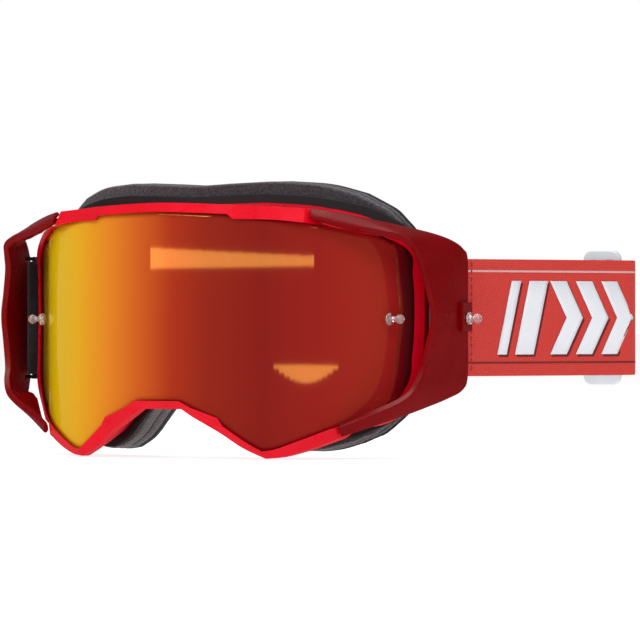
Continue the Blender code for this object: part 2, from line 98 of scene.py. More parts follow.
# The same half outlines as the CAD model's, top centre round to bottom centre:
# lens face edge, lens bevel edge, lip inner edge, rim outer edge, flange outer edge, foam outer edge.
STATIONS = [
    ((0, 41.8), (0, 41.8), (0, 41.3), (0, 44.8), (0, 47.5), (0, 51.5)),
    ((16, 41.3), (16, 41.3), (16, 40.8), (16, 44.4), (16, 48.0), (16, 52.2)),
    ((29, 40.7), (29, 40.7), (29, 40.2), (28, 43.9), (30, 48.4), (30, 52.8)),
    ((31.2, 40.6), (31.2, 40.6), (31.2, 38.3), (32, 43.7), (33, 48.3), (33, 52.8)),
    ((46.4, 38.6), (46.4, 38.6), (46.4, 37.9), (46.4, 42.9), (48, 47.2), (50, 51.2)),
    ((56.0, 37.4), (56.0, 37.4), (56.0, 36.9), (55.2, 42.4), (57, 45.6), (61, 48.0)),
    ((60.5, 36.5), (60.5, 36.5), (60.5, 36.0), (59.0, 38.8), (62, 44.4), (67, 44.5)),
    ((70.9, 33.5), (70.9, 33.5), (70.7, 33.0), (71.5, 36.4), (73, 39.6), (74, 38.5)),
    ((75.6, 32.1), (77.4, 32.3), (77.0, 31.7), (79.2, 34.6), (80.5, 34.0), (78.5, 32.0)),
    ((78.0, 28.4), (82.6, 28.6), (82.3, 28.3), (85.4, 30.0), (87.5, 27.0), (82.0, 24.0)),
    ((79.3, 15.0), (85.3, 16.0), (84.9, 16.0), (87.8, 16.5), (91.0, 21.0), (84.0, 12.0)),
    ((79.8, 3.0), (85.6, 3.0), (85.2, 3.0), (88.0, 3.0), (91.6, 1.0), (84.4, 0.0)),
    ((79.1, -12.0), (85.2, -13.0), (84.8, -13.0), (87.7, -13.5), (91.0, -19.0), (83.6, -13.0)),
    ((78.1, -26.7), (83.2, -26.6), (82.9, -26.4), (85.8, -28.0), (87.5, -25.5), (81.0, -25.0)),
    ((77.0, -32.6), (79.4, -33.4), (79.0, -33.0), (81.0, -35.8), (81.0, -33.0), (76.0, -34.0)),
    ((74.2, -36.2), (75.0, -36.6), (74.6, -36.0), (76.4, -39.4), (74.0, -38.6), (69.5, -41.0)),
    ((66.8, -40.4), (66.8, -40.4), (66.5, -39.9), (67.2, -42.4), (67.0, -42.4), (63.0, -45.0)),
    ((64.1, -41.7), (64.1, -41.7), (63.8, -41.2), (65.2, -45.0), (64.0, -43.8), (60.0, -46.5)),
    ((51.5, -47.2), (51.5, -47.2), (51.3, -46.7), (53.0, -50.2), (52.0, -47.6), (49.0, -49.5)),
    ((45.2, -49.7), (45.2, -49.7), (45.1, -49.2), (46.0, -52.2), (45.0, -49.4), (42.0, -49.8)),
    ((41.3, -50.5), (41.3, -50.5), (41.2, -49.9), (41.3, -52.7), (40.0, -49.6), (36.0, -49.0)),
    ((36.7, -47.9), (36.7, -47.9), (36.9, -47.3), (34.8, -49.8), (34.0, -47.0), (30.5, -46.5)),
    ((27.2, -41.0), (27.2, -41.0), (27.2, -40.4), (26.0, -43.9), (25.0, -40.8), (24.0, -42.2)),
    ((25.1, -39.5), (25.1, -39.5), (25.1, -37.2), (23.6, -42.4), (22.0, -38.6), (21.0, -39.6)),
    ((15.0, -34.2), (15.0, -34.2), (15.0, -33.6), (14.0, -37.0), (13.5, -33.8), (14.0, -34.2)),
    ((9.7, -31.4), (9.7, -31.4), (9.7, -30.9), (9.3, -34.0), (8.5, -31.6), (9.0, -31.4)),
    ((0, -31.4), (0, -31.4), (0, -30.9), (0, -34.0), (0, -31.2), (0, -30.6)),
]
CRISP = {2, 3, 5, 17, 20, 22, 23, 24, 25}       # stations whose corners stay sharp
FLARE = {5: -3.2, 17: -1.3}          # the rim's edge stands forward where the arms leave it

# Outriggers
OUTRIGGER_T, ROOT_SHARE, SECTION_STEPS = 2.6, 0.55, 5
HEAD_CENTRE = Vector((0, 40, 0))
PAD_LOW, PAD_HIGH = Vector((99.6, 11.4, -4.4)), Vector((102.7, 18.9, 6.8))
WEB_LIFT = 1.6
# Sections (inner edge, outer edge), from the top seam round to the bottom seam.
OUTRIGGER = [
    ((58.3, -28.9, 39.2), (57.2, -25.9, 42.4)),
    ((68.5, -23.5, 36.6), (66.0, -20.2, 41.0)),
    ((80.0, -17.0, 34.2), (76.5, -13.0, 38.4)),
    ((88.0, -13.2, 32.6), (87.0, -3.5, 35.4)),
    ((92.3, -11.3, 30.0), (94.0, 4.5, 33.0)),
    ((94.0, -8.5, 25.5), (98.2, 11.0, 30.5)),
    ((95.0, -6.3, 20.0), (100.6, 15.8, 27.2)),
    ((97.0, -4.6, 11.0), (101.4, 17.9, 22.5)),
    ((98.8, -3.5, 1.5), (101.4, 17.9, 0.5)),
    ((97.0, -4.6, -9.0), (101.4, 17.9, -21.0)),
    ((95.0, -6.3, -18.5), (100.4, 15.6, -26.8)),
    ((94.0, -8.5, -24.0), (97.2, 10.2, -30.0)),
    ((91.6, -10.6, -29.0), (92.6, 3.4, -33.0)),
    ((86.5, -13.0, -32.6), (85.6, -4.0, -36.6)),
    ((77.5, -16.8, -36.4), (76.0, -12.4, -40.8)),
    ((66.3, -21.4, -40.6), (67.2, -20.0, -44.5)),
]


# ---------------------------------------------------------------- materials

def srgb(r, g, b):
    """A linear colour from 0-255 screen values."""
    def linear(c):
        return ((c / 255 + 0.055) / 1.055) ** 2.4 if c > 10 else c / 255 / 12.92
    return (linear(r), linear(g), linear(b), 1.0)


class Shader:
    """A Principled material with short calls for its nodes."""

    def __init__(self, name, colour, roughness, **sockets):
        self.mat = bpy.data.materials.new(name)
        self.mat.use_nodes = True
        self.tree = self.mat.node_tree
        self.main = self.tree.nodes["Principled BSDF"]
        self.set(self.main, **{"Base Color": colour, "Roughness": roughness, **sockets})
        self.place = self.node("ShaderNodeTexCoord").outputs["Object"]

    def set(self, node, **values):
        for key, value in values.items():
            node.inputs[key].default_value = value

    def node(self, kind, **inputs):
        made = self.tree.nodes.new(kind)
        for key, value in inputs.items():
            key = key.replace("_", " ")
            if isinstance(value, bpy.types.NodeSocket):
                self.tree.links.new(value, made.inputs[key])
            else:
                made.inputs[key].default_value = value
        return made

    def noise(self, scale, detail=3.0):
        return self.node("ShaderNodeTexNoise", Vector=self.place, Scale=scale, Detail=detail).outputs["Fac"]

    def multiply_add(self, value, factor, added):
        made = self.node("ShaderNodeMath")
        made.operation = "MULTIPLY_ADD"
        self.tree.links.new(value, made.inputs[0])
        made.inputs[1].default_value = factor
        self.tree.links.new(added, made.inputs[2])
        return made.outputs[0]

    def twill(self, detail=None):
        """Diagonal bands over the UV map of strap length by height."""
        uv = self.node("ShaderNodeTexCoord").outputs["UV"]
        turned = self.node("ShaderNodeMapping", Vector=uv, Rotation=(0, 0, TWILL_TURN)).outputs["Vector"]
        wave = self.node("ShaderNodeTexWave", Vector=turned, Scale=TWILL_SCALE, Distortion=0.6)
        if detail:
            wave.inputs["Detail"].default_value, wave.inputs["Detail Scale"].default_value = detail
        return uv, wave.outputs["Fac"]

    def ramp(self, value, stops):
        ramp = self.node("ShaderNodeValToRGB", Fac=value)
        while len(ramp.color_ramp.elements) < len(stops):
            ramp.color_ramp.elements.new(1.0)
        for element, (at, colour) in zip(ramp.color_ramp.elements, stops):
            element.position = at
            element.color = colour
        return ramp.outputs["Color"]

    def link(self, value, socket):
        self.tree.links.new(value, self.main.inputs[socket])

    def bump(self, height, strength, distance):
        made = self.node("ShaderNodeBump", Height=height, Strength=strength, Distance=distance)
        self.link(made.outputs["Normal"], "Normal")
        return made

    def range(self, value, low, high, to_low=0.0, to_high=1.0):
        made = self.node("ShaderNodeMapRange", Value=value)
        for key, number in (("From Min", low), ("From Max", high), ("To Min", to_low), ("To Max", to_high)):
            made.inputs[key].default_value = number
        return made.outputs["Result"]


def moulded(name, colour, deep, roughness, gloss=0.5):
    """Moulded plastic: fine grain, faint mottling of the colour and uneven gloss."""
    s = Shader(name, colour, roughness, **{"Specular IOR Level": gloss})
    s.link(s.ramp(s.noise(60.0), [(0.3, deep), (0.7, colour)]), "Base Color")
    s.link(s.range(s.noise(220.0), 0.3, 0.7, roughness - 0.05, roughness + 0.07), "Roughness")
    s.bump(s.noise(2600.0, 2.0), 0.12, 0.0002)
    return s.mat


def mirror_shader(name, roughness):
    """Coated polycarbonate whose gloss is gold, so white lamps mirror as orange."""
    sockets = {"Metallic": 0.1, "IOR": 1.9, "Specular Tint": (1.0, 0.6, 0.1, 1.0)}
    return Shader(name, srgb(165, 46, 27), roughness, **sockets)


def mirror_lens():
    """Mirror coating with a painted reflection: its colour is painted from yellow at one side to deep red at
    the other, standing in for the coating's tint by angle and the studio's reflections.
    """
    s = mirror_shader("mirror_lens", 0.022)
    across = s.node("ShaderNodeSeparateXYZ", Vector=s.place)
    swayed = s.multiply_add(s.noise(9.0, 1.0), 0.004, across.outputs["X"])
    place = s.range(swayed, -LENS_HALF, LENS_HALF)
    # Painted reflection: yellow through orange to deep red, then brighter red again near the far side, laid
    # across the lens's width.
    tints = [(0.035, (228, 198, 18)), (0.16, (230, 190, 18)), (0.26, (232, 170, 24)), (0.37, (226, 130, 34)),
             (0.46, (204, 90, 32)), (0.55, (168, 44, 26)), (0.63, (143, 30, 25)), (0.75, (132, 16, 25)),
             (0.86, (150, 22, 29)), (0.955, (170, 36, 34))]
    s.link(s.ramp(place, [(at, srgb(*c)) for at, c in tints]), "Base Color")
    return s.mat


def mirror_bevel_painted_reflection_and_shade():
    """The lens's side bevels, with painted reflection and shade: olive painted on one side, maroon on the
    other, falling to a painted dark brown shade at its outer edge.
    """
    s = mirror_shader("mirror_bevel_painted_reflection_and_shade", 0.1)
    across = s.node("ShaderNodeSeparateXYZ", Vector=s.place)
    place = s.range(across.outputs["X"], -LENS_HALF, LENS_HALF)
    # Painted reflection from olive to maroon across the lens, then painted shade falling to dark brown at the
    # far edge.
    tints = [(0.0, (158, 128, 28)), (0.4, (152, 122, 28)), (0.6, (128, 8, 24)), (0.972, (124, 8, 22)),
             (0.98, (92, 24, 26)), (1.0, (88, 22, 25))]
    s.link(s.ramp(place, [(at, srgb(*c)) for at, c in tints]), "Base Color")
    return s.mat


def webbing():
    """Diagonal twill, by the strap's own length and height in its UV map."""
    s = Shader("strap_webbing", srgb(205, 55, 47), 0.82, **{"Sheen Weight": 0.1, "Sheen Roughness": 0.4})
    uv, twill = s.twill(detail=(1.0, 3.0))
    yarn = s.node("ShaderNodeTexWave", Vector=uv, Scale=420.0, Distortion=0.4)
    yarn.bands_direction = "Y"
    both = s.multiply_add(yarn.outputs["Fac"], 0.45, twill)
    tints = [(0.1, srgb(184, 38, 33)), (0.7, srgb(204, 50, 42)), (1.3, srgb(212, 60, 50))]
    s.link(s.ramp(both, tints), "Base Color")
    s.bump(both, 0.4, 0.0003)
    return s.mat


def cloth(name, colour, light, scale, strength):
    s = Shader(name, colour, 0.95, **{"Sheen Weight": 0.25, "Sheen Roughness": 0.5})
    s.link(s.ramp(s.noise(scale / 6), [(0.3, colour), (0.75, light)]), "Base Color")
    s.bump(s.noise(scale, 4.0), strength, 0.0006)
    return s.mat


def foam():
    """Open-cell foam: small dark pores in a soft grey-black."""
    s = Shader("foam", srgb(40, 35, 40), 0.97, **{"Sheen Weight": 0.3, "Sheen Roughness": 0.6})
    pores = s.node("ShaderNodeTexVoronoi", Vector=s.place, Scale=900.0).outputs["Distance"]
    tints = [(0.05, srgb(20, 17, 21)), (0.45, srgb(46, 41, 46)), (0.9, srgb(58, 52, 58))]
    s.link(s.ramp(pores, tints), "Base Color")
    s.bump(pores, 0.6, 0.0005)
    return s.mat


def clear_plastic():
    s = Shader("clear_post", srgb(248, 232, 232), 0.06,
               **{"Transmission Weight": 0.82, "IOR": 1.49, "Coat Weight": 0.6, "Coat Roughness": 0.03})
    s.link(s.range(s.noise(500.0), 0.3, 0.7, 0.04, 0.12), "Roughness")
    return s.mat


def ink(name, colour):
    """Print on the strap: the weave still shows through it."""
    s = Shader(name, colour, 0.6)
    _, twill = s.twill()
    darker = tuple(c * 0.88 for c in colour[:3]) + (1.0,)
    s.link(s.ramp(twill, [(0.0, darker), (0.7, colour)]), "Base Color")
    s.bump(twill, 0.25, 0.0002)
    return s.mat


RED = moulded("frame_red", srgb(224, 1, 32), srgb(210, 1, 28), 0.3, 0.2)
DARK_RED = moulded("outrigger_red", srgb(122, 0, 5), srgb(112, 0, 3), 0.3, 0.14)
LENS_PAINTED_REFLECTION = mirror_lens()
LENS_BEVEL_PAINTED_REFLECTION_AND_SHADE = mirror_bevel_painted_reflection_and_shade()
WEBBING = webbing()
FOAM = foam()
FLEECE = cloth("fleece", srgb(26, 23, 27), srgb(44, 40, 45), 1800.0, 0.8)
BLACK = moulded("black_rubber", srgb(22, 20, 24), srgb(14, 13, 16), 0.6)
BACKING = cloth("strap_backing", srgb(16, 14, 17), srgb(26, 23, 27), 2200.0, 0.6)
CLEAR = clear_plastic()
WHITE = moulded("slider_white", srgb(236, 238, 243), srgb(224, 227, 234), 0.3)
SILICONE = moulded("silicone", srgb(70, 66, 72), srgb(56, 53, 58), 0.38)
INK_WHITE = ink("ink_white", srgb(232, 234, 240))
INK_PALE = ink("ink_pale", srgb(214, 168, 166))
INK_DARK = ink("ink_dark", srgb(120, 24, 22))
THREAD = ink("thread", srgb(170, 36, 32))


# ---------------------------------------------------------------- mesh helpers

def finish_mesh(name, bm, mat, bevel=0.0, angle=28.0, segments=3):
    bmesh.ops.remove_doubles(bm, verts=bm.verts, dist=1e-7)
    bmesh.ops.recalc_face_normals(bm, faces=bm.faces)
    mesh = bpy.data.meshes.new(name)
    bm.to_mesh(mesh)
    bm.free()
    mesh.materials.append(mat)
    ob = bpy.data.objects.new(name, mesh)
    bpy.context.scene.collection.objects.link(ob)
    mesh.shade_smooth()
    if bevel:
        made = ob.modifiers.new("edges", "BEVEL")
        made.width = bevel * MM
        made.segments = segments
        made.limit_method = "ANGLE"
        made.angle_limit = math.radians(angle)
        made.harden_normals = True
    else:
        mesh.set_sharp_from_angle(angle=math.radians(angle + 14))
    return ob


def rows_mesh(rows, closed_path=True, closed_section=True):
    bm = bmesh.new()
    grid = [[bm.verts.new(Vector(p) * MM) for p in row] for row in rows]
    count, length = len(grid), len(grid[0])
    for i in range(count if closed_section else count - 1):
        for j in range(length if closed_path else length - 1):
            a, b, k = grid[i], grid[(i + 1) % count], (j + 1) % length
            bm.faces.new((a[j], a[k], b[k], b[j]))
    if closed_section and not closed_path:
        for j in (0, length - 1):
            bm.faces.new([row[j] for row in grid])
    return bm


def piece(ob, body, slot, *nodes):
    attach(ob, body)
    if nodes:
        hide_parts(*nodes)
    return ob


def lens_y(x):
    return LENS_APEX + LENS_R - math.sqrt(LENS_R ** 2 - min(abs(x), 91.0) ** 2)


def nose_shift(x, z):
    return -NOSE_RISE * math.exp(-(x / NOSE_HALF) ** 2) if z < 0 else 0.0


def flange_y(x, z):
    return FLANGE_Y + FLANGE_CURVE * x * x + nose_shift(x, z)


def face_y(x, z):
    return FACE_CURVE * x * x + nose_shift(x, z)


def toward_middle(point, distance):
    x, z = point
    cx = math.copysign(max(abs(x) - MIDDLE_HALF, 0.0), x)
    cz = z - MIDDLE_Z
    span = math.hypot(cx, cz)
    return x - cx / span * distance, z - cz / span * distance


def ring_points(values, step=2.0):
    """A closed row from a half row of tuples: a curve through every station, straight where one is crisp."""
    count = len(values)
    whole = list(range(count)) + list(range(count - 2, 0, -1))
    signs = [1] * count + [-1] * (count - 2)
    corners = [(s * values[i][0], *values[i][1:]) for i, s in zip(whole, signs)]
    size = len(corners)

    def spacing(n):
        """Length of one run, by the lens's outline, so that every row is cut alike."""
        return math.dist(STATIONS[whole[n % size]][0], STATIONS[whole[(n + 1) % size]][0])

    def slope(n):
        """Direction at a station, by the lengths of the runs on both sides."""
        if whole[n % size] in CRISP:
            return None
        before, after = spacing(n - 1), spacing(n)
        a, b, c = corners[(n - 1) % size], corners[n % size], corners[(n + 1) % size]
        whole_run = before + after
        return [((q - p) / before * after + (r - q) / after * before) / whole_run for p, q, r in zip(a, b, c)]

    points = []
    for n in range(size):
        a, b = corners[n], corners[(n + 1) % size]
        run = spacing(n)
        chord = [(q - p) / run for p, q in zip(a, b)]
        leave, arrive = slope(n) or chord, slope(n + 1) or chord
        cuts = max(1, round(run / step))
        for k in range(cuts):
            t = k / cuts
            square, cube = t * t, t ** 3
            weights = (2 * cube - 3 * square + 1, cube - 2 * square + t, 3 * square - 2 * cube, cube - square)
            points.append([weights[0] * p + weights[1] * run * u + weights[2] * q + weights[3] * run * v
                           for p, u, q, v in zip(a, leave, b, arrive)])
    return points


# ---------------------------------------------------------------- lens and frame

def between(points, x):
    """Height of a left-to-right outline at x."""
    for (xa, za), (xb, zb) in zip(points, points[1:]):
        if xa <= x <= xb:
            return za + (zb - za) * (x - xa) / max(xb - xa, 1e-9)
    return points[-1][1]


def lens_columns(rows):
    """Columns of points from the middle to one side: upright ones, then the crease and the bevel's edge."""
    face = ring_points([s[0] for s in STATIONS])
    edge = ring_points([s[1] for s in STATIONS])
    half = [(f, e) for f, e in zip(face, edge) if f[0] >= -1e-6 and e[0] >= -1e-6]
    upper = [f for f, _ in half if f[1] > 31.0 and f[0] < 76.0]
    lower = sorted((f for f, _ in half if f[1] < -30.9 and f[0] < 77.0), key=lambda f: f[0])
    side = sorted(((f, e) for f, e in half if f[0] > 76.2), key=lambda fe: fe[0][1])
    columns = []
    for k in range(38):
        x = 2.0 * k
        low, high = between(lower, x), between(upper, x)
        columns.append([(x, lens_y(x), low + (high - low) * r / rows) for r in range(rows + 1)])
    count = len(side) - 1
    crease, rim = [], []
    for r in range(rows + 1):
        at = count * r / rows
        i, t = min(int(at), count - 1), at - min(int(at), count - 1)
        (fa, ea), (fb, eb) = side[i], side[i + 1]
        fx, fz, ex, ez = (p + (q - p) * t for p, q in zip((*fa, *ea), (*fb, *eb)))
        crease.append((fx, lens_y(fx), fz))
        rim.append((ex, lens_y(fx) + BEVEL_SLOPE * (ex - fx), ez))
    start = columns[-1]
    for share in (0.5, 1.0):
        blended = []
        for p, q in zip(start, crease):
            x, z = p[0] + (q[0] - p[0]) * share, p[2] + (q[2] - p[2]) * share
            blended.append((x, lens_y(x), z))
        columns.append(blended)
    columns.append(rim)
    return columns


def make_lens():
    """One bent sheet with its side bevels and a real thickness; upright columns keep its mirror true."""
    right = lens_columns(28)
    columns = [[(-x, y, z) for x, y, z in column] for column in reversed(right[1:])] + right
    bm = rows_mesh(columns, closed_path=False, closed_section=False)
    bm.faces.ensure_lookup_table()
    strip = len(columns[0]) - 1
    for face in [*bm.faces[:strip], *bm.faces[-strip:]]:
        face.material_index = 1
    ob = finish_mesh("lens_moulded", bm, LENS_PAINTED_REFLECTION)
    ob.data.materials.append(LENS_BEVEL_PAINTED_REFLECTION_AND_SHADE)
    ob.data.set_sharp_from_angle(angle=math.radians(12))
    if ob.data.polygons[0].normal.y > 0:
        ob.data.flip_normals()
    solid = ob.modifiers.new("wall", "SOLIDIFY")
    solid.thickness, solid.offset = LENS_T * MM, -1
    piece(ob, "root", "mirror_lens", "lens")


def rim_level(i):
    """Depth of the lens's edge at a station, which the rim follows."""
    face, edge, lip = STATIONS[i][:3]
    level = lens_y(face[0]) + BEVEL_SLOPE * (edge[0] - face[0]) if edge != face else lens_y(lip[0])
    return level - STEEP_GAP if face[0] > STEEP_X else level


def make_frame():
    # One list of points per row: lip front, outer front, outer rear, inner rear, and the lip's back corners.
    rim = [[], [], [], [], [], []]
    for i, (_, edge, lip, out, _, _) in enumerate(STATIONS):
        flare = FLARE.get(i, 0.0)
        level = rim_level(i)
        clear = toward_middle(edge, -LENS_GAP)
        places = ((lip, level - LIP_FRONT + flare), (out, level + RIM_FALL + flare), (out, level + RIM_REAR),
                  (clear, level + RIM_REAR), (clear, level - LENS_GAP), (lip, level - LENS_GAP))
        for row, ((x, z), y) in zip(rim, places):
            row.append((x, y, z))
    bm = rows_mesh([ring_points(row) for row in rim])
    piece(finish_mesh("rim_moulding", bm, RED, bevel=0.45), "root", "frame_red", "frame_rim")

    wall = [[], [], [], []]
    for (x, y, z), station in zip(rim[2], STATIONS):
        for row, inset in zip((wall[0], wall[3]), WALL_INSETS):
            px, pz = toward_middle((x, z), inset)
            row.append((px, y + BODY_GAP, pz))
        for row, inset in zip((wall[1], wall[2]), FLANGE_INSETS):
            px, pz = toward_middle(station[4], inset)
            row.append((px, flange_y(px, pz), pz))
    rows = [ring_points(row) for row in wall]
    ob = finish_mesh("inner_frame_moulding", rows_mesh(rows), RED, bevel=0.4)
    piece(ob, "root", "frame_red", "frame_body")


def ring_plate(name, outline, front, rear, band, mat, crown=0.0, edge=0.5, levels=4):
    """A ring between two depth surfaces; crown rounds its outer and inner sides like sewn or cut foam."""
    outer = ring_points(outline)
    sections = []
    for k in range(levels + 1):
        share = k / levels
        bulge = crown * math.sin(math.pi * share)
        sections.append((share, bulge, 0))
    for share in (0.25, 0.5, 0.75):
        sections.append((1.0, share, 2))
    for k in range(levels, -1, -1):
        share = k / levels
        sections.append((share, -crown * math.sin(math.pi * share), 1))
    for share in (0.75, 0.5, 0.25):
        sections.append((0.0, share, 2))
    rows = []
    for share, amount, kind in sections:
        row = []
        for x, z in outer:
            inset = {0: -amount, 1: band - amount, 2: band * amount}[kind]
            px, pz = toward_middle((x, z), inset)
            depth = front(px, pz) + (rear(px, pz) - front(px, pz)) * share
            row.append((px, depth, pz))
        rows.append(row)
    return finish_mesh(name, rows_mesh(rows), mat, bevel=edge, angle=35)


def make_face_layers():
    def flange_front(x, z):
        return flange_y(x, z) + GAP

    def flange_rear(x, z):
        return flange_front(x, z) + FLANGE_T

    def level(share, gap=0.0):
        def depth(x, z):
            start = flange_rear(x, z) + FOAM_GAP
            return start + (max(face_y(x, z), start + FOAM_LEAST) - start) * share - gap
        return depth

    flange_line, foam_line = [s[4] for s in STATIONS], [s[5] for s in STATIONS]
    flange = ring_plate("flange_moulding", flange_line, flange_front, flange_rear, FOAM_BAND + 1.0, BLACK)
    piece(flange, "root", "black_rubber", "face_flange")
    first, second = FOAM_SHARES
    layers = (
        ("foam_base_pad", level(0.0), level(first, LAYER_GAP), FOAM, 0.5, 0.7, "foam", "foam_base", 0.9),
        ("foam_middle_pad", level(first), level(second, LAYER_GAP),
         FOAM, 0.7, 0.9, "foam", "foam_middle", 0.8),
        ("fleece_face", level(second), level(1.0), FLEECE, 0.9, 1.2, "fleece", "foam_fleece", 0.7))
    for name, front, rear, mat, crown, edge, slot, node, fill in layers:
        ob = ring_plate(name, foam_line, front, rear, FOAM_BAND, mat, crown=crown, edge=edge)
        piece(ob, "root", slot, node)


# ---------------------------------------------------------------- outriggers and posts

def spline(points, steps):
    """Catmull-Rom through tuples of numbers."""
    out = []
    last = len(points) - 1
    for i in range(last):
        p0, p1, p2, p3 = (points[min(max(i + k, 0), last)] for k in (-1, 0, 1, 2))
        for k in range(steps):
            t = k / steps
            point = []
            for a, b, c, d in zip(p0, p1, p2, p3):
                curved = (2 * a - 5 * b + 4 * c - d) * t * t + (3 * b - a - 3 * c + d) * t ** 3
                point.append(0.5 * (2 * b + (c - a) * t + curved))
            out.append(tuple(point))
    out.append(tuple(points[-1]))
    return out


def add_web(bm, line, side, stations):
    """Thin web that closes the space between an arm's inner edge and the rim, tapering out along the arm."""
    rim = [Vector((STATIONS[i][3][0], rim_level(i) + RIM_FALL, STATIONS[i][3][1])) for i in stations]
    away = math.copysign(1.0, rim[0].z)
    rows = [[], [], [], []]
    for k, values in enumerate(line):
        start = Vector(values[:3]) + Vector((0, 0.6, -1.0 * away))
        for p, q in zip(rim, rim[1:]):
            if start.x <= q.x:
                break
        share = min(max((start.x - p.x) / (q.x - p.x), 0.0), 1.0)
        goal = p.lerp(q, share) + Vector((0.3, -1.8, -1.0 * away))
        reach = min(1.0, max(0.02, (3.1 - k / SECTION_STEPS) / 1.5))
        end = start.lerp(goal, reach)
        for row, point, lift in zip(rows, (start, end, end, start), (0.0, 0.0, WEB_LIFT, WEB_LIFT)):
            row.append((side * point.x, point.y, point.z + lift * away))
    made = rows_mesh(rows, closed_path=False)
    mesh = bpy.data.meshes.new("web")
    made.to_mesh(mesh)
    made.free()
    bm.from_mesh(mesh)
    bpy.data.meshes.remove(mesh)


def make_outrigger(side, word):
    line = spline([(*a, *b) for a, b in OUTRIGGER], SECTION_STEPS)
    last = len(line) - 1
    columns = ((0.0, 0.0), (0.16, 0.25), (0.5, 0.3), (0.84, 0.25), (1.0, 0.0))
    rows = [[] for _ in range(len(columns) * 2)]
    for i, values in enumerate(line):
        a, b = Vector(values[:3]), Vector(values[3:])
        before, after = line[max(i - 1, 0)], line[min(i + 1, last)]
        path = sum((Vector(after[k:k + 3]) - Vector(before[k:k + 3]) for k in (0, 3)), Vector())
        inward = path.cross(b - a).normalized()
        if inward.dot(HEAD_CENTRE - a) < 0:
            inward = -inward
        wall = OUTRIGGER_T * min(1.0, ROOT_SHARE + (1 - ROOT_SHARE) * min(i, last - i) / SECTION_STEPS)
        for c, (share, crown) in enumerate(columns):
            p = a.lerp(b, share) - inward * crown
            q = a.lerp(b, share) + inward * wall
            rows[c].append((side * p.x, p.y, p.z))
            rows[-1 - c].append((side * q.x, q.y, q.z))
    bm = rows_mesh(rows, closed_path=False)
    add_web(bm, line[:16], side, (5, 6, 7, 8, 9))
    add_web(bm, line[:-17:-1], side, (17, 16, 15, 14, 13))
    pad = bmesh.ops.create_cube(bm, size=1.0)["verts"]
    for v in pad:
        p = [(PAD_LOW[k] + PAD_HIGH[k]) / 2 + v.co[k] * (PAD_HIGH[k] - PAD_LOW[k]) for k in range(3)]
        v.co = Vector((side * p[0], p[1], p[2])) * MM
    ob = finish_mesh(f"outrigger_moulding_{word}", bm, DARK_RED, bevel=0.6, angle=40)
    piece(ob, f"outrigger_{word}", "outrigger_red", f"outrigger_{word}")


def lathe(bm, profile, matrix, steps=32):
    rings = []
    for r, h in profile:
        if r < 1e-6:
            rings.append([bm.verts.new(matrix @ Vector((0, 0, h)) * MM)])
            continue
        rings.append([bm.verts.new(matrix @ Vector((r * math.cos(t), r * math.sin(t), h)) * MM)
                      for t in (2 * math.pi * k / steps for k in range(steps))])
    for a, b in zip(rings, rings[1:]):
        for k in range(steps):
            m = (k + 1) % steps
            corners = [a[k % len(a)], a[m % len(a)], b[m % len(b)], b[k % len(b)]]
            bm.faces.new(list(dict.fromkeys(corners)))


def ball_profile(stem):
    """Flange, waist and a ball head with a flat dimple."""
    head = [(1.85 * math.sin(t), stem + 1.75 - 1.75 * math.cos(t))
            for t in (math.radians(a) for a in range(35, 160, 12))]
    foot = [(0, 0), (2.1, 0), (2.35, 0.2), (2.35, 0.7), (2.1, 0.95), (1.3, 1.05), (1.05, 1.35)]
    top = [(0.55, stem + 3.35), (0.4, stem + 3.2), (0, stem + 3.15)]
    return [*foot, (1.0, stem - 0.1), *head, *top]


def make_posts():
    for side, word in SIDES:
        turn = Vector((side, 0, 0)).to_track_quat("Z", "Y").to_matrix().to_4x4()
        posts = (((side * 78.4, -3.7, 0.3), 3.3, "lens", "root"),
                 ((side * 102.95, 15.2, 0.6), 2.1, "outrigger", f"outrigger_{word}"))
        for base, stem, name, body in posts:
            bm = bmesh.new()
            lathe(bm, ball_profile(stem), Matrix.Translation(base) @ turn)
            ob = finish_mesh(f"{name}_tear_off_post_{word}", bm, CLEAR, angle=30)
            piece(ob, body, "clear_post", f"{name}_post_{word}")


# ---------------------------------------------------------------- strap

def strap_path(side):
    """Plan of one side run: sewn end, loop round the bar, run back and fold, as (x, y) points."""
    bar, radius = Vector(BAR), LOOP_R
    start = Vector(FOLD_START)
    step = (start - bar).normalized()
    aside = Vector((-step.y, step.x))
    away = math.atan2(step.y, step.x)
    loop = [bar + Vector((math.cos(away + math.pi / 2 + a), math.sin(away + math.pi / 2 + a))) * radius
            for a in (math.pi * k / 12 for k in range(13))]
    sewn = [bar + step * d + aside * 0.15 for d in (16.0, 12.0, 8.0, 5.0)]
    run = [bar + step * d - aside * 0.15 for d in (5.0, 8.0, 12.0, 16.0)]
    count = 16
    run += [run[-1].lerp(start, k / count) for k in range(1, count + 1)]
    centre = Vector((FOLD_X, STRAP_REAR_Y - FOLD_R))
    run += [centre + Vector((math.cos(a), math.sin(a))) * FOLD_R
            for a in (math.radians(-38 + 128 * k / 14) for k in range(15))]
    run.append(Vector((124.8, STRAP_REAR_Y)))
    return [(side * p.x, p.y) for p in sewn + loop + run], len(sewn) + len(loop)


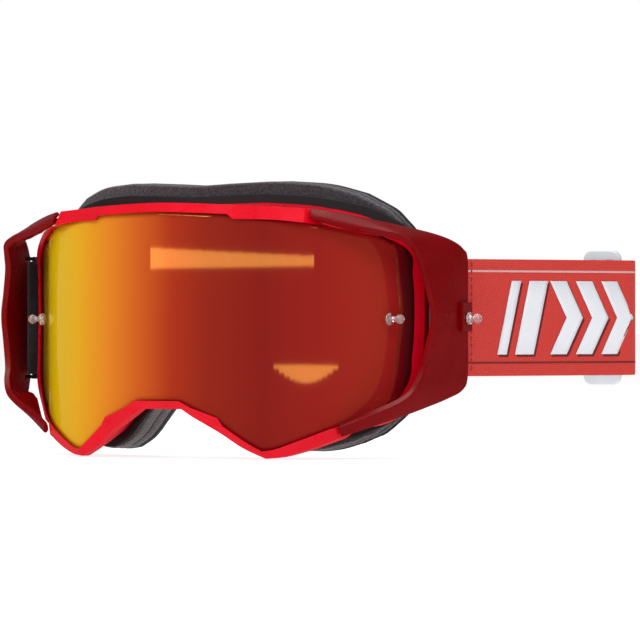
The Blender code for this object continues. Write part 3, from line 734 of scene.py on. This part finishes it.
def band(name, path, heights, thickness, mat, outward, dark_until=0):
    """Webbing on edge along a plan path: bound edges, a black inner face, and UVs of length by height."""
    length = 0.0
    stations = []
    for i, (x, y) in enumerate(path):
        ax, ay = path[max(i - 1, 0)]
        bx, by = path[min(i + 1, len(path) - 1)]
        if i:
            length += math.dist(path[i - 1], (x, y))
        span = math.hypot(bx - ax, by - ay)
        stations.append((x, y, (by - ay) / span * outward, -(bx - ax) / span * outward, length))
    low, high = heights
    levels = [low, low + 0.25, low + 0.9] + [low + (high - low) * k / 8 for k in range(1, 8)]
    levels += [high - 0.9, high - 0.25, high]
    thin = [0.45, 0.9, 1.0] + [1.0] * 7 + [1.0, 0.9, 0.45]
    bm = bmesh.new()
    uv = bm.loops.layers.uv.new("strap")
    faces = {}
    for part, sign in (("out", 1), ("in", 0)):
        grid = []
        for z, t in zip(levels, thin):
            depth = thickness * (0.5 + (0.5 * t if sign else -0.5 * t))
            grid.append([bm.verts.new(Vector((x + nx * depth, y + ny * depth, z)) * MM)
                         for x, y, nx, ny, _ in stations])
        faces[part] = grid
        for r in range(len(levels) - 1):
            for i in range(len(stations) - 1):
                quad = bm.faces.new((grid[r][i], grid[r][i + 1], grid[r + 1][i + 1], grid[r + 1][i]))
                quad.material_index = 1 if part == "in" or i < dark_until else 0
                for loop, (s, z) in zip(quad.loops, ((i, r), (i + 1, r), (i + 1, r + 1), (i, r + 1))):
                    loop[uv].uv = (stations[s][4] * MM, levels[z] * MM)
    out, inn = faces["out"], faces["in"]
    for i in range(len(stations) - 1):
        bm.faces.new((out[0][i], out[0][i + 1], inn[0][i + 1], inn[0][i]))
        bm.faces.new((out[-1][i], out[-1][i + 1], inn[-1][i + 1], inn[-1][i]))
    for r in range(len(levels) - 1):
        for i in (0, len(stations) - 1):
            bm.faces.new((out[r][i], out[r + 1][i], inn[r + 1][i], inn[r][i]))
    ob = finish_mesh(name, bm, mat, angle=50)
    ob.data.materials.append(BACKING)
    return ob, stations


def decal(bm, uv, stations, thickness, shape, step=1.5, proud=0.06):
    """A flat printed shape, given in length and height, laid on the outside of a band."""
    def at(s, z):
        for a, b in zip(stations, stations[1:]):
            if a[4] <= s <= b[4] or b is stations[-1]:
                t = (s - a[4]) / max(b[4] - a[4], 1e-6)
                x, y, nx, ny = (p + (q - p) * t for p, q in zip(a[:4], b[:4]))
                reach = thickness + proud
                return Vector((x + nx * reach, y + ny * reach, z)) * MM
    (s0, z0), (s1, z1), (s2, z2), (s3, z3) = shape
    cuts = max(1, round(max(abs(s1 - s0), abs(s2 - s3)) / step))
    rows = []
    for k in range(cuts + 1):
        t = k / cuts
        low = (s0 + (s1 - s0) * t, z0 + (z1 - z0) * t)
        high = (s3 + (s2 - s3) * t, z3 + (z2 - z3) * t)
        rows.append([(low, bm.verts.new(at(*low))), (high, bm.verts.new(at(*high)))])
    for a, b in zip(rows, rows[1:]):
        quad = [a[0], b[0], b[1], a[1]]
        face = bm.faces.new([v for _, v in quad])
        for loop, (place, _) in zip(face.loops, quad):
            loop[uv].uv = (place[0] * MM, place[1] * MM)


def print_layer(name, stations, shapes, mat, proud=0.06):
    bm = bmesh.new()
    uv = bm.loops.layers.uv.new("strap")
    for shape in shapes:
        decal(bm, uv, stations, STRAP_T, shape, proud=proud)
    ob = finish_mesh(name, bm, mat, angle=60)
    solid = ob.modifiers.new("film", "SOLIDIFY")
    solid.thickness, solid.offset = 0.05 * MM, 0
    return ob


def line_shape(start, end, heights):
    """A printed line along a strap, as the corners of one long shape."""
    low, high = heights
    return [((start, low), (end, low), (end, high), (start, high))]


def slanted(start, width, low, high, lean):
    return ((start, low), (start + width, low), (start + width + lean, high), (start + lean, high))


def chevron(start, width, low, high, depth):
    """An arrow head pointing along the strap: two slanted bars."""
    middle = (low + high) / 2
    return [((start, low), (start + width, low), (start + width + depth, middle), (start + depth, middle)),
            ((start + depth, middle), (start + depth + width, middle), (start + width, high), (start, high))]


def bar_pattern(first):
    """Bold generic bars and arrow heads, repeated along the strap."""
    low, high = PRINT_LOW, PRINT_HIGH
    shapes = []
    at = first
    for width in (4.5, 9.0):
        shapes.append(slanted(at, width, low, high, 7.0))
        at += width + 4.0
    at += 4.0
    for _ in range(3):
        shapes += chevron(at, 8.0, low, high, 8.0)
        at += 12.5
    return shapes


def make_straps():
    low, high = STRAP_LOW, STRAP_HIGH
    for side, word in SIDES:
        body = f"outrigger_{word}"
        path, loop_end = strap_path(side)
        strap, stations = band(f"strap_run_{word}", path, (low, high), STRAP_T, WEBBING, side, loop_end)
        begin, end = stations[loop_end][4], stations[-1][4]
        bars = bar_pattern(begin + 22.0)
        edges = [tuple((along + 0.9, z - 0.9) for along, z in shape) for shape in bars]
        stitches = []
        for row in (9.0, 13.5):
            for k in range(15):
                z = low + 2.2 + k * 2.85
                stitches += line_shape(begin + row - 4, begin + row - 3.4, (z, z + 1.7))
        prints = ((f"strap_line_pale_{word}", line_shape(begin + 1, end, PALE_LINE), INK_PALE, 0.06),
                  (f"strap_line_dark_{word}", line_shape(begin + 1, end, DARK_LINE), INK_DARK, 0.06),
                  (f"strap_bars_edge_{word}", edges, INK_DARK, 0.05),
                  (f"strap_bars_{word}", bars, INK_WHITE, 0.16),
                  (f"strap_stitches_{word}", stitches, THREAD, 0.15))
        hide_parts(f"strap_side_{word}")
        layers = [print_layer(name, stations, *look) for name, *look in prints]
        for ob in (strap, *layers):
            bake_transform(ob)
        bm = bmesh.new()
        stand = Matrix.Translation((side * BAR[0], BAR[1], STRAP_Z - BAR_H / 2))
        profile = [(0, 0), (1.2, 0), (BAR_R, 0.3), (BAR_R, BAR_H - 0.3), (1.2, BAR_H), (0, BAR_H)]
        lathe(bm, profile, stand, 24)
        pin = finish_mesh(f"strap_bar_pin_{word}", bm, BLACK, angle=40)
        piece(pin, body, "black_rubber", f"strap_bar_{word}")
    make_rear(low, high)


def make_rear(low, high):
    y, y_out = STRAP_REAR_Y, STRAP_REAR_Y + STRAP_T + GAP
    path = [(REAR_END - 2 * REAR_END * k / 60, y) for k in range(61)]
    inner, _ = band("rear_strap", path, (low, high), STRAP_T, WEBBING, 1)
    piece(inner, "root", "strap_webbing", "strap_rear")
    middle = [(OVERLAP_HALF - 2 * OVERLAP_HALF * k / 30, y_out) for k in range(31)]
    outer, over = band("rear_overlap", middle, (low, high), STRAP_T, WEBBING, 1)
    piece(outer, "root", "strap_webbing", "strap_overlap")
    shapes = chevron(12.0, 8.0, PRINT_LOW, PRINT_HIGH, 8.0)
    shapes += [slanted(28.0 + k * 13.0, 8.0, PRINT_LOW, PRINT_HIGH, 7.0) for k in range(4)]
    prints = (("rear_bars", shapes, INK_WHITE, 0.12),
              ("rear_line_pale", line_shape(0, 2 * OVERLAP_HALF, PALE_LINE), INK_PALE, 0.06),
              ("rear_line_dark", line_shape(0, 2 * OVERLAP_HALF, DARK_LINE), INK_DARK, 0.06))
    for name, pattern, mat, proud in prints:
        piece(print_layer(name, over, pattern, mat, proud), "root", "strap_webbing")
    for side, word in SIDES:
        tail = [(side * (TAIL_IN + (TAIL_OUT - TAIL_IN) * k / 40), y_out) for k in range(41)]
        strip, stations = band(f"rear_tail_{word}", tail, (low, high), STRAP_T, WEBBING, -side)
        pale = print_layer(f"tail_line_pale_{word}", stations, line_shape(0, TAIL_LINE, PALE_LINE), INK_PALE)
        dark = print_layer(f"tail_line_dark_{word}", stations, line_shape(0, TAIL_LINE, DARK_LINE), INK_DARK)
        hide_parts(f"strap_tail_{word}")
        # The strip stays under its slider; the printed lines stop just short of it.
        for ob, keep in ((strip, 0.285), (pale, 0.07), (dark, 0.07)):
            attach(ob, "root")
            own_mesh(ob)
    make_grips(y)


def make_grips(y):
    """Raised silicone bands on the strap's inside, with fine cross ribs."""
    for word, z in (("upper", 15.8), ("middle", STRAP_Z), ("lower", -14.0)):
        rows = []
        for share, depth in ((-1, 0.0), (-1, 0.5), (-0.8, 0.8), (0.8, 0.8), (1, 0.5), (1, 0.0)):
            row = []
            for k in range(89):
                x = -44.0 + k
                ripple = 0.12 if k % 4 == 0 and abs(depth - 0.8) < 0.01 else 0.0
                row.append((x, y - GAP - depth + ripple, z + 3.0 * share))
            rows.append(row)
        bm = rows_mesh(rows, closed_path=False)
        ob = finish_mesh(f"grip_band_{word}", bm, SILICONE, angle=50)
        piece(ob, "root", "silicone", f"silicone_grip_{word}")


def make_sliders():
    """Tri-glide: a rounded plate with two slots and a middle bar, and the strap humped over the bar."""
    for side, word in SIDES:
        centre = side * SLIDER_MID
        curve = bpy.data.curves.new(f"slider_plate_{word}", "CURVE")
        curve.dimensions, curve.fill_mode = "2D", "BOTH"
        curve.extrude, curve.bevel_depth, curve.bevel_resolution = 1.0 * MM, 0.45 * MM, 3
        curve.resolution_u = 6
        outlines = [(0, 7.5, 26.0, 3.2), (-3.6, 2.0, 23.1, 0.8), (3.6, 2.0, 23.1, 0.8)]
        for cx, hx, hz, radius in outlines:
            corners = []
            for sx, sz, start in ((1, 1, 0), (-1, 1, 90), (-1, -1, 180), (1, -1, 270)):
                for k in range(6):
                    a = math.radians(start + 18 * k)
                    corners.append((cx + sx * (hx - radius) + radius * math.cos(a),
                                    sz * (hz - radius) + radius * math.sin(a)))
            line = curve.splines.new("POLY")
            line.points.add(len(corners) - 1)
            line.use_cyclic_u = True
            for point, (px, pz) in zip(line.points, corners):
                point.co = (px * MM, pz * MM, 0, 1)
        guide = bpy.data.objects.new("guide", curve)
        bpy.context.scene.collection.objects.link(guide)
        bpy.context.view_layer.update()
        mesh = bpy.data.meshes.new_from_object(guide.evaluated_get(bpy.context.evaluated_depsgraph_get()))
        bpy.data.objects.remove(guide)
        bm = bmesh.new()
        bm.from_mesh(mesh)
        place = Matrix.Translation(Vector((centre, SLIDER_Y + 0.1, STRAP_Z)) * MM)
        bm.transform(place @ Matrix.Rotation(math.pi / 2, 4, "X"))
        ob = finish_mesh(f"slider_plate_{word}", bm, WHITE, angle=35)
        ob.data.materials.clear()
        ob.data.materials.append(WHITE)
        piece(ob, f"slider_{word}", "slider_plastic", f"slider_{word}")
        hump = []
        for k in range(21):
            t = -1 + k / 10
            rise = 2.1 * math.exp(-(t / 0.62) ** 4)
            hump.append((centre + side * t * 5.6, SLIDER_Y - 0.3 + rise))
        heights = (STRAP_Z - 22.3, STRAP_Z + 22.3)
        cloth_hump, _ = band(f"slider_strap_loop_{word}", hump, heights, 1.3, WEBBING, -side)
        piece(cloth_hump, f"slider_{word}", "strap_webbing")


# ---------------------------------------------------------------- stage

def area_light(name, place, target, size, energy, colour=(1, 1, 1), hidden=True):
    data = bpy.data.lights.new(name, "AREA")
    data.shape, data.size, data.size_y = "RECTANGLE", *size
    data.energy, data.color = energy, colour
    ob = bpy.data.objects.new(name, data)
    bpy.context.scene.collection.objects.link(ob)
    ob.location = place
    ob.rotation_euler = (Vector(target) - Vector(place)).to_track_quat("-Z", "Y").to_euler()
    ob.visible_camera = not hidden


def strip_lights(name, first, last, power, tubes):
    """Slim studio tubes bent round the front of the lens at one metre: a (height, thickness) for each."""
    step = (last - first) / len(tubes)
    for k, (height, thick) in enumerate(tubes):
        a = math.radians(first + step * (k + 0.5))
        place = (math.sin(a), -math.cos(a) - 0.04, height)
        width = 2 * math.tan(math.radians(step / 2)) * 1.01
        area_light(f"{name}_{k}", place, (0, -0.04, height), (width, thick), power * width * thick)


def make_stage():
    bpy.context.scene.view_settings.view_transform = "Standard"
    camera = bpy.data.objects.new("camera", bpy.data.cameras.new("camera"))
    bpy.context.scene.collection.objects.link(camera)
    bpy.context.scene.camera = camera
    angle, distance, aim = math.radians(30.0), 1.895, 0.062
    right = Vector((math.cos(angle), math.sin(angle), 0))
    back = Vector((math.sin(angle), -math.cos(angle), 0))
    target = Vector((0, LENS_APEX * MM, 0)) + right * aim
    camera.location = target + back * distance
    camera.rotation_euler = back.to_track_quat("Z", "Y").to_euler()
    camera.data.sensor_width = 36.0
    camera.data.lens = 36.0 * distance / 0.2443
    camera.data.clip_start = 0.05

    bpy.ops.mesh.primitive_plane_add(size=30, location=(0, 0, cad_box[0][2] - 0.0005))
    floor = bpy.context.object
    floor.name = "studio_floor"
    glow = {"Emission Color": (1, 1, 1, 1), "Emission Strength": 0.8}
    s = Shader("studio_floor", (0.6, 0.6, 0.6, 1), 0.9, **glow)
    floor.data.materials.append(s.mat)
    floor.visible_glossy = False

    # White for the camera; dim for everything else, so that the plastics keep their depth of colour.
    world = bpy.data.worlds.new("studio")
    bpy.context.scene.world = world
    world.use_nodes = True
    nodes, links = world.node_tree.nodes, world.node_tree.links
    background = nodes["Background"]
    background.inputs["Color"].default_value = (1, 1, 1, 1)
    level = nodes.new("ShaderNodeMapRange")
    level.inputs["To Min"].default_value = 0.2
    links.new(nodes.new("ShaderNodeLightPath").outputs["Is Camera Ray"], level.inputs["Value"])
    links.new(level.outputs["Result"], background.inputs["Strength"])
    area_light("key", (-0.5, -1.3, 1.3), (0, 0, 0), (0.9, 0.9), 19.0)
    area_light("side", (1.3, -0.7, 1.1), (0, 0, 0), (0.8, 0.8), 9.0)
    area_light("top", (0.1, 0.1, 1.5), (0, 0, 0), (1.2, 0.6), 9.0)
    tapered = [(0.036 - 0.002 * k / 11, 0.012 - 0.006 * k / 11) for k in range(12)]
    arch = [math.sin(math.pi * (k + 0.5) / 12) for k in range(12)]
    curved = [(-0.0265 - 0.0045 * rise, 0.001 + 0.0095 * rise) for rise in arch]
    strip_lights("upper_tube", -36, 50, 13.0, tapered)
    strip_lights("lower_tube", 30, 62, 13.0, curved)


make_stage()
make_lens()
make_frame()
make_face_layers()
for side, word in SIDES:
    make_outrigger(side, word)
make_posts()
make_straps()
make_sliders()

for node, mat in (("vent_foam_top", FOAM), ("vent_foam_bottom_left", FOAM), ("vent_foam_bottom_right", FOAM),
                  ("bar_clip_upper_left", BLACK), ("bar_clip_lower_left", BLACK),
                  ("bar_clip_upper_right", BLACK), ("bar_clip_lower_right", BLACK)):
    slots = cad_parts[node].material_slots
    for entry in slots:
        entry.material = mat
